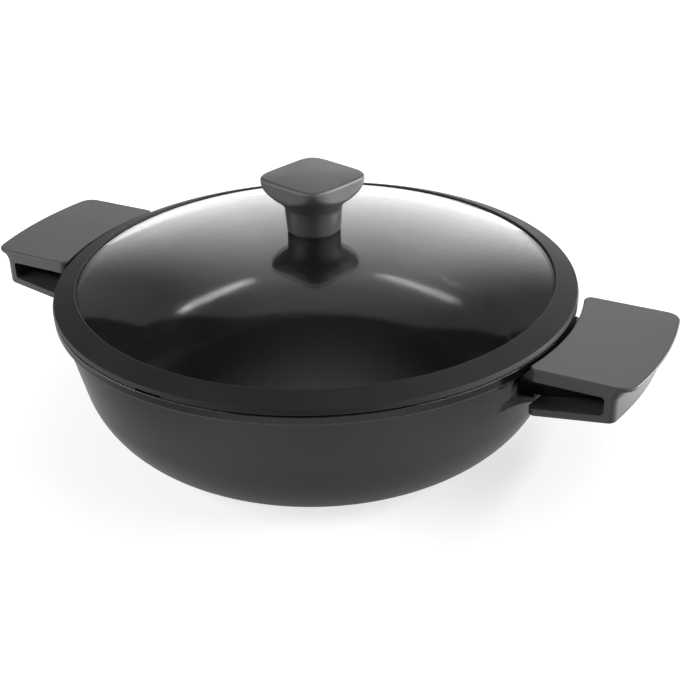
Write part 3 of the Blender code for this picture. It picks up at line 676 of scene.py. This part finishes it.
def knob_underside():
    """The section towards a corner of the cap, as the neck's flare and the cap's underside."""
    radius, height = KNOB_WAIST
    neck = NECK_RADIUS + NECK_FLARE
    flare = curve((neck, NECK_STRAIGHT), (neck, height - NECK_PULL),
                  (radius - WAIST_PULL_DOWN[0], height - WAIST_PULL_DOWN[1]),
                  KNOB_WAIST, 2 * KNOB_EDGE_STEPS)
    bulge = curve(KNOB_WAIST, (radius + WAIST_PULL_UP[0], height + WAIST_PULL_UP[1]),
                  (KNOB_CORNER - CAP_LIP_PULL[0], CAP_LIP - CAP_LIP_PULL[1]),
                  (KNOB_CORNER + CAP_LIP_SPARE, CAP_LIP), 8 * KNOB_EDGE_STEPS)
    return flare, bulge


def knob_meridian(angle):
    """The knob's section in one direction, from the neck's bottom to near the axis."""
    steps = KNOB_EDGE_STEPS
    reach = cap_radius(angle)
    flare, bulge = knob_underside()
    after = next(i for i, (radius, _) in enumerate(bulge) if radius > reach)
    share = (reach - bulge[after - 1][0]) / (bulge[after][0] - bulge[after - 1][0])
    inner, outer = Vector(bulge[after - 1]), Vector(bulge[after])
    corner = Vector((reach, inner.y + share * (outer.y - inner.y)))
    slope = (inner - outer).normalized()
    start = corner + slope * KNOB_EDGE_ROUND
    kept = [point for point in bulge if point[0] < start.x]
    while len(kept) < 2:
        kept.append(bulge[len(kept)])
    spread = []
    for i in range(1, 3 * steps + 1):
        along = i / (3 * steps) * (len(kept) - 1)
        low = min(int(along), len(kept) - 2)
        spread.append(tuple(Vector(kept[low]).lerp(Vector(kept[low + 1]), along - low)))
    points = [(NECK_RADIUS - FIT / 2, -KNOB_SKIRT), (NECK_RADIUS, FIT / 2 - KNOB_SKIRT)]
    points += flare + spread
    points += blend(start, corner, corner + Vector((0.0, KNOB_EDGE_ROUND)), steps)
    side = KNOB_HEIGHT - KNOB_TOP_ROUND
    points += arc((reach - KNOB_TOP_ROUND, side), KNOB_TOP_ROUND, 0.0, pi / 2, steps)
    for i in range(1, KNOB_CROWN_STEPS):
        share = 1 - i / KNOB_CROWN_STEPS
        points.append(((reach - KNOB_TOP_ROUND) * share,
                       KNOB_HEIGHT + KNOB_CROWN * (1 - share ** 2)))
    return points


def lid_knob():
    """The moulded knob: a round neck that runs out into a rounded square cap."""
    angles = [2 * pi * i / KNOB_STEPS for i in range(KNOB_STEPS)]
    meridians = [knob_meridian(angle) for angle in angles]
    rings = [
        [(point[0] * cos(angle), point[0] * sin(angle), point[1])
         for angle, point in zip(angles, level)]
        for level in zip(*meridians)
    ]
    piece = loft("lid_knob", rings)
    bore = INSERT_RADIUS + FIT
    depth = INSERT_LENGTH + 2 * FIT
    profile = [(0.0, depth + INSERT_TIP_ROOM), (SHANK_BORE, depth + INSERT_TIP_ROOM),
               (SHANK_BORE, depth), (bore, depth), (bore, 0.0),
               (GASKET_RADIUS + FIT / 3, 0.0), (GASKET_RADIUS + FIT / 3, -2 * KNOB_SKIRT),
               (0.0, -2 * KNOB_SKIRT)]
    piece = combined(piece, [(turned("bore", profile, steps=BORE_STEPS), "DIFFERENCE")])
    piece.data.transform(Matrix.Translation((0, 0, KNOB_BOTTOM))
                         @ Matrix.Rotation(KNOB_TURN, 4, "Z"))
    return piece


# Materials

class Tree:
    """Short ways to wire a node tree."""

    def __init__(self, tree):
        self.tree = tree

    def add(self, kind, inputs=(), **settings):
        """Add a node, set its options and fill its inputs with values or links."""
        node = self.tree.nodes.new(kind)
        for key, value in settings.items():
            setattr(node, key, value)
        for key, value in dict(inputs).items():
            self.feed(node.inputs[key], value)
        return node

    def feed(self, socket, value):
        """Link an output to a socket, or set the socket's own value."""
        if isinstance(value, bpy.types.NodeSocket):
            self.tree.links.new(value, socket)
        else:
            socket.default_value = value

    def math(self, operation, first, second=0.0):
        """One step of arithmetic."""
        return self.add("ShaderNodeMath", {0: first, 1: second}, operation=operation).outputs[0]


class Surface(Tree):
    """A material whose node tree is built around one Principled shader."""

    def __init__(self, name):
        self.material = bpy.data.materials.new(name)
        self.material.use_nodes = True
        super().__init__(self.material.node_tree)
        self.shader = self.tree.nodes["Principled BSDF"]
        self.place = self.add("ShaderNodeTexCoord").outputs["Object"]

    def noise(self, size, detail=2.0, roughness=0.5, place=None):
        """Noise with features of about a size in metres, from 0 to 1."""
        node = self.add("ShaderNodeTexNoise", {"Vector": place or self.place, "Scale": 1.0 / size,
                                               "Detail": detail, "Roughness": roughness})
        return node.outputs["Fac"]

    def spread(self, value, low, high, start=0.3, end=0.7):
        """Map a stretch of values, by default a noise's middle, on to another one."""
        node = self.add("ShaderNodeMapRange", {"Value": value, "From Min": start, "From Max": end,
                                               "To Min": low, "To Max": high})
        return node.outputs["Result"]

    def mix(self, factor, first, second, blend_type="MIX"):
        """Mix two colours."""
        node = self.add("ShaderNodeMix", data_type="RGBA", blend_type=blend_type)
        self.feed(node.inputs["Factor"], factor)
        self.feed(node.inputs[MIX_COLOUR_A], first)
        self.feed(node.inputs[MIX_COLOUR_B], second)
        return node.outputs[MIX_COLOUR_RESULT]

    def bump(self, height, depth, normal=None):
        """Bump from a height texture, a depth in metres, on top of another bump."""
        inputs = {"Height": height, "Distance": depth, "Strength": 1.0}
        if normal is not None:
            inputs["Normal"] = normal
        return self.add("ShaderNodeBump", inputs).outputs["Normal"]

    def set(self, **values):
        """Fill the shader's sockets, named with underscores for spaces."""
        for key, value in values.items():
            self.feed(self.shader.inputs[key.replace("_", " ")], value)
        return self.material


def grey(level, warm=0.0):
    """A near-neutral colour, a little warmer or cooler than grey."""
    return (level * (1 + warm), level, level * (1 - warm), 1.0)


def coating():
    """Matt dark non-stick coating with a fine pebbled grain."""
    s = Surface("nonstick_coating")
    cloud = s.noise(size=0.045, detail=3.0)
    speck = s.noise(size=0.0011, detail=2.0, roughness=0.6)
    colour = s.mix(s.spread(cloud, 0.0, 1.0), grey(0.0070, COOL), grey(0.0095, FAINTLY_COOL))
    colour = s.mix(s.spread(speck, 0.0, 0.55, 0.5, 0.75), colour, grey(0.022))
    rough = s.math("ADD", s.spread(cloud, 0.145, 0.170), s.spread(speck, -0.03, 0.05))
    grain = s.bump(s.noise(size=0.0010, detail=2.0, roughness=0.55), depth=0.000014)
    pebbles = s.bump(s.noise(size=0.0040, detail=1.0), depth=0.00002, normal=grain)
    return s.set(Base_Color=colour, Roughness=rough, Normal=pebbles)


def silicone(name, low, high, roughness, grain, gloss=0.5, painted_light=()):
    """Matt silicone with a dusty sheen, a fine moulded grain and, where asked for, light and shade
    painted into its colour by height.

    Each band of painted light scales the colour by a factor that goes from one value to
    another between two heights, and keeps these values below and above them.
    """
    s = Surface(name)
    cloud = s.noise(size=0.030, detail=4.0, roughness=0.6)
    speck = s.noise(size=0.0007, detail=2.0)
    colour = s.mix(s.spread(cloud, 0.0, 1.0), grey(low, COOL), grey(high, FAINTLY_COOL))
    colour = s.mix(s.spread(speck, 0.0, 0.25, 0.5, 0.8), colour, grey(high * 1.5))
    # painted light: the colour is scaled by height, as painted shade and painted highlight
    if painted_light:
        height = s.add("ShaderNodeSeparateXYZ", {"Vector": s.place}).outputs["Z"]
        for start, end, first, last in painted_light:
            tone = s.spread(height, first, last, start, end)
            colour = s.mix(1.0, colour, tone, "MULTIPLY")
    rough = s.math("ADD", s.spread(cloud, roughness - 0.04, roughness + 0.04),
                   s.spread(speck, -0.03, 0.03))
    s.shader.inputs["Sheen Weight"].default_value = 0.02
    s.shader.inputs["Sheen Roughness"].default_value = 0.5
    s.shader.inputs["Specular IOR Level"].default_value = gloss
    fine = s.bump(s.noise(size=0.0006, detail=2.0), depth=grain)
    waves = s.bump(s.noise(size=0.012, detail=1.0), depth=0.00006, normal=fine)
    return s.set(Base_Color=colour, Roughness=rough, Normal=waves)


def knob_painted_light():
    """Painted shade on the knob's neck under its cap and a painted highlight along the cap's top
    edge, each taken back off the cap and its top face.
    """
    def span(level, ends):
        return level + ends[0], level + ends[1]

    top = KNOB_BOTTOM + KNOB_HEIGHT
    return [
        (*span(KNOB_BOTTOM, NECK_SHADE_SPAN), NECK_FOOT_PAINTED_SHADE, NECK_PAINTED_SHADE),
        (*span(KNOB_BOTTOM, CAP_SPAN), 1.0, 1 / NECK_PAINTED_SHADE),
        (*span(top, CAP_HIGHLIGHT_SPAN), 1.0, CAP_EDGE_PAINTED_HIGHLIGHT),
        (*span(top, CAP_TOP_SPAN), 1.0, 1 / CAP_EDGE_PAINTED_HIGHLIGHT),
    ]


def tempered_glass():
    """Clear glass, faintly smoked, with slight waves from the tempering."""
    s = Surface("tempered_glass")
    wave = s.noise(size=0.060, detail=1.0)
    colour = s.mix(s.spread(wave, 0.0, 1.0), (0.955, 0.970, 0.965, 1.0), (0.970, 0.982, 0.978, 1.0))
    s.shader.inputs["Transmission Weight"].default_value = 1.0
    s.shader.inputs["IOR"].default_value = 1.5
    return s.set(Base_Color=colour, Roughness=0.0, Normal=s.bump(wave, depth=0.00001))


def turned_metal(name, dull, bright, roughness):
    """Metal with fine rings from the lathe."""
    s = Surface(name)
    parts = s.add("ShaderNodeSeparateXYZ", {"Vector": s.place})
    radius = s.math("SQRT", s.math("ADD", s.math("POWER", parts.outputs["X"], 2.0),
                                   s.math("POWER", parts.outputs["Y"], 2.0)))
    line = s.add("ShaderNodeCombineXYZ", {"X": radius, "Y": 0.0,
                                          "Z": s.math("MULTIPLY", parts.outputs["Z"], 0.5)})
    rings = s.noise(size=0.0004, detail=3.0, roughness=0.7, place=line.outputs[0])
    cloud = s.noise(size=0.02, detail=3.0)
    colour = s.mix(s.spread(rings, 0.0, 1.0), (*dull, 1.0), (*bright, 1.0))
    rough = s.math("ADD", s.spread(rings, roughness - 0.06, roughness + 0.06),
                   s.spread(cloud, -0.04, 0.06))
    s.shader.inputs["Metallic"].default_value = 1.0
    return s.set(Base_Color=colour, Roughness=rough, Normal=s.bump(rings, depth=0.00002))


def assign(piece, material):
    """Give a piece one material."""
    piece.data.materials.clear()
    piece.data.materials.append(material)


# Studio

def softbox(name, azimuth, elevation, distance, size, power):
    """A rectangular lamp aimed at the pan."""
    lamp = bpy.data.lights.new(name, "AREA")
    lamp.shape = "RECTANGLE"
    lamp.size, lamp.size_y = size
    lamp.energy = power
    holder = bpy.data.objects.new(name, lamp)
    bpy.context.scene.collection.objects.link(holder)
    back = Vector((cos(azimuth) * cos(elevation), sin(azimuth) * cos(elevation), sin(elevation)))
    holder.location = Vector(LAMP_TARGET) + back * distance
    holder.rotation_mode = "QUATERNION"
    holder.rotation_quaternion = back.to_track_quat("Z", "Y")


def camera():
    """The camera at the photograph's viewing angle, which looks a little past the pan's axis."""
    reach = CAMERA_DISTANCE
    position = Vector((0.0, -reach * cos(CAMERA_ELEVATION), reach * sin(CAMERA_ELEVATION)))
    forward = -position.normalized()
    right = Vector((1.0, 0.0, 0.0))
    up = right.cross(forward)
    for axis, angle in (("up", CAMERA_YAW), ("right", CAMERA_PITCH), ("forward", CAMERA_ROLL)):
        about = {"up": up, "right": right, "forward": forward}[axis]
        turn = Matrix.Rotation(angle, 3, about)
        forward, right, up = turn @ forward, turn @ right, turn @ up
    place = Matrix.Identity(4)
    position += Vector((0.0, 0.0, RIM_EDGE_TOP))
    for column, vector in enumerate((right, up, -forward, position)):
        for row in range(3):
            place[row][column] = vector[row]
    data = bpy.data.cameras.new("camera")
    data.lens = CAMERA_LENS
    data.sensor_fit = "HORIZONTAL"
    data.sensor_width = CAMERA_SENSOR
    data.clip_start, data.clip_end = CAMERA_CLIP
    holder = bpy.data.objects.new("camera", data)
    holder.matrix_world = Matrix.Rotation(CAMERA_AZIMUTH, 4, "Z") @ place
    bpy.context.scene.collection.objects.link(holder)
    bpy.context.scene.camera = holder


class Stage(Tree):
    """The floor's or the world's node tree."""

    def fade(self, value, start, end, low, high):
        """A smooth step from one value to another."""
        node = self.add("ShaderNodeMapRange", {"Value": value, "From Min": start, "From Max": end,
                                               "To Min": low, "To Max": high},
                        interpolation_type="SMOOTHSTEP")
        return node.outputs["Result"]

    def across(self, vector, direction):
        """How far a vector reaches along a direction."""
        return self.add("ShaderNodeVectorMath", {0: vector, 1: direction},
                        operation="DOT_PRODUCT").outputs["Value"]


def studio_floor(glow, shade, mirrored_near, mirrored_side, mirrored_front, mirrored_back,
                 mirrored_far):
    """A pale floor: it scatters light, keeps a soft shadow, and is white away from the pan; by the
    pan a painted shadow darkens it towards the right, and in reflections it is painted dark under
    the pan.
    """
    def build(work):
        bmesh.ops.create_grid(work, x_segments=FLOOR_CELLS, y_segments=FLOOR_CELLS,
                              size=FLOOR_REACH)

    floor = add_object("studio_floor", mesh_from("studio_floor", build))
    material = bpy.data.materials.new("studio_floor")
    material.use_nodes = True
    material.node_tree.nodes.clear()
    s = Stage(material.node_tree)
    path = s.add("ShaderNodeLightPath")
    mirrored = s.math("MAXIMUM", path.outputs["Is Glossy Ray"],
                      path.outputs["Is Transmission Ray"])
    place = s.add("ShaderNodeTexCoord").outputs["Object"]
    away = s.add("ShaderNodeVectorMath", {0: place}, operation="LENGTH").outputs["Value"]
    ahead = s.across(place, TOWARDS_CAMERA)
    lateral = s.across(place, TO_THE_RIGHT)

    # painted shadow: the floor by the pan gets darker towards the right
    glow_with_painted_shadow = s.fade(lateral, *PAINTED_SHADOW_SPAN, glow, glow - PAINTED_SHADOW_LOSS)
    seen = s.fade(away, *WHITE_SPAN, glow_with_painted_shadow, 1.0)

    front = s.math("MULTIPLY", s.fade(away, *FRONT_SPAN, mirrored_near, mirrored_front),
                   s.fade(s.math("ABSOLUTE", lateral), *SIDE_SPAN, 1.0, mirrored_side))
    back = s.fade(ahead, *BACK_SPAN, mirrored_back, 0.0)
    far_left = s.fade(lateral, -FAR_SPAN[1], -FAR_SPAN[0], mirrored_far[0], 0.0)
    far_right = s.fade(lateral, *FAR_SPAN, 0.0, mirrored_far[1])
    reflection = s.math("MAXIMUM", s.math("MAXIMUM", front, back),
                        s.math("MAXIMUM", far_right, far_left))
    # painted shadow under the pan, in what the object mirrors
    reflection = s.math("MULTIPLY", reflection, s.fade(away, *UNDER_PAN_SHADOW_SPAN, UNDER_PAN_SHADOW_LEVEL, 1.0))
    strength = s.math("ADD", s.math("MULTIPLY", seen, path.outputs["Is Camera Ray"]),
                      s.math("MULTIPLY", reflection, mirrored))

    shown = s.math("MAXIMUM", path.outputs["Is Camera Ray"], mirrored)
    tone = s.add("ShaderNodeMix", {0: shown, MIX_VALUE_A: FLOOR_BOUNCE, MIX_VALUE_B: shade},
                 data_type="FLOAT").outputs[0]
    tone = s.math("MULTIPLY", tone,
                  s.math("SUBTRACT", 1.0, s.math("MULTIPLY", mirrored, MIRRORED_LOSS)))
    diffuse = s.add("ShaderNodeBsdfDiffuse", {"Color": tone})
    emission = s.add("ShaderNodeEmission", {"Strength": strength})
    both = s.add("ShaderNodeAddShader", {0: diffuse.outputs[0], 1: emission.outputs[0]})
    clear = s.add("ShaderNodeBsdfTransparent")
    below = s.add("ShaderNodeNewGeometry").outputs["Backfacing"]
    pick = s.add("ShaderNodeMixShader", {0: below, 1: both.outputs[0], 2: clear.outputs[0]})
    s.add("ShaderNodeOutputMaterial", {"Surface": pick.outputs[0]})
    assign(floor, material)


def studio_world(panel, wall, room, ceiling):
    """A bright soft panel behind the pan on a dim square screen; the camera sees white."""
    world = bpy.data.worlds.new("studio")
    world.use_nodes = True
    bpy.context.scene.world = world
    s = Stage(world.node_tree)
    place = s.add("ShaderNodeTexCoord").outputs["Generated"]
    height = s.math("ARCSINE", s.across(place, (0.0, 0.0, 1.0)))
    turn = s.math("ARCTAN2", s.across(place, TO_THE_RIGHT),
                  s.across(place, [-value for value in TOWARDS_CAMERA]))

    def edge(value, span, low, high):
        return s.fade(value, radians(span[0]), radians(span[1]), low, high)

    def beside(middle):
        return s.math("ABSOLUTE", s.math("SUBTRACT", turn, radians(middle)))

    ramp = s.add("ShaderNodeValToRGB", {"Fac": s.math("DIVIDE", height, pi / 2)})
    stops = ramp.color_ramp.elements
    while len(stops) < len(PANEL_LEVELS):
        stops.new(0.5)
    for stop, (angle, level) in zip(stops, PANEL_LEVELS):
        stop.position = angle / 90
        stop.color = (level, level, level, 1.0)
    across = s.math("ADD", edge(turn, PANEL_EDGE, 0.0, PANEL_EDGE_SHARE * panel),
                    edge(turn, PANEL_SLOPE, 0.0, (1 - PANEL_EDGE_SHARE) * panel))
    across = s.math("MULTIPLY", across, edge(turn, PANEL_END, 1.0, 0.0))
    bright = s.math("MULTIPLY", across, ramp.outputs["Color"])

    lean = s.math("DIVIDE", s.math("TANGENT", height), s.math("COSINE", beside(SCREEN_TOP_TURN)))
    lean = s.math("ADD", lean, edge(beside(CORNER_TURN), CORNER_EDGE, 0.0, CORNER_CUT))
    low = s.fade(lean, *SCREEN_TOP_EDGE, 1.0, 0.0)
    screen = s.math("MULTIPLY", edge(beside(SCREEN_TURN), SCREEN_EDGE, wall - room, 0.0), low)
    above = edge(height, CEILING_EDGE, room, ceiling)
    level = s.math("ADD", s.math("ADD", bright, screen), above)
    level = s.math("MAXIMUM", level, s.add("ShaderNodeLightPath").outputs["Is Camera Ray"])
    background = s.tree.nodes["Background"]
    background.inputs["Color"].default_value = (1.0, 1.0, 1.0, 1.0)
    s.feed(background.inputs["Strength"], level)


# Assembly

def dress(piece, body, node, material, angle=CREASE):
    """Shade a fine piece, give it its material, and let it stand for its node."""
    shaded(piece, angle)
    assign(piece, material)
    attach(piece, body)
    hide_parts(node)


def keep(node, material):
    """Give a node of the frame smooth shading, crisp edges and its material."""
    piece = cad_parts[node]
    assign(piece, material)
    piece.data.shade_smooth()
    weld = piece.modifiers.new("Weld", "WELD")
    weld.merge_threshold = WELD_REACH
    split = piece.modifiers.new("Crisp", "EDGE_SPLIT")
    split.split_angle = CREASE


camera()

grip_finish = silicone("grip_silicone", low=0.077, high=0.090, roughness=0.40, grain=0.000018)
rim_finish = silicone("rim_silicone", low=0.016, high=0.021, roughness=0.56, grain=0.000010,
                      gloss=0.38)
# the knob's colour carries painted shade on its neck and a painted highlight on its cap's edge
knob_finish = silicone("knob_plastic", low=0.060, high=0.070, roughness=0.40, grain=0.000012,
                       painted_light=knob_painted_light())
seal_finish = silicone("seal_silicone", low=0.006, high=0.009, roughness=0.65, grain=0.000010,
                       gloss=0.15)
steel_finish = turned_metal("steel", (0.50, 0.50, 0.515), (0.68, 0.68, 0.69), roughness=0.30)
bolt_finish = turned_metal("steel_bolt", (0.025, 0.025, 0.026), (0.040, 0.040, 0.041),
                           roughness=0.50)
brass_finish = turned_metal("brass", (0.60, 0.44, 0.20), (0.78, 0.60, 0.30), roughness=0.28)

dress(pan_casting(), "pan", "pan_body", coating())
dress(grip("right_sleeve", 1), "right_grip", "right_grip", grip_finish)
dress(grip("left_sleeve", -1), "left_grip", "left_grip", grip_finish)
dome = lid_dome()
dress(dome, "lid", "lid_glass", tempered_glass(), DOME_CREASE)
dome.visible_shadow = False     # clear glass lets the lamps' light through
dress(lid_ring(), "lid", "lid_rim", rim_finish)
dress(lid_knob(), "lid", "knob", knob_finish, KNOB_CREASE)
for node, finish in (("base_disc", steel_finish), ("knob_insert", brass_finish),
                     ("knob_gasket", seal_finish), ("glass_seal", seal_finish),
                     ("screw_washer", bolt_finish), ("knob_screw", bolt_finish)):
    keep(node, finish)

studio_floor(glow=0.77, shade=0.50, mirrored_near=0.80, mirrored_side=0.45, mirrored_front=0.20,
             mirrored_back=1.2, mirrored_far=(1.4, 2.8))
studio_world(panel=1.45, wall=0.18, room=0.02, ceiling=0.38)
for name, turn, rise, distance, size, power in LAMPS:
    softbox(name, CAMERA_AZIMUTH + radians(turn), radians(rise), distance, size, power)

scene = bpy.context.scene
scene.view_settings.view_transform = "Standard"
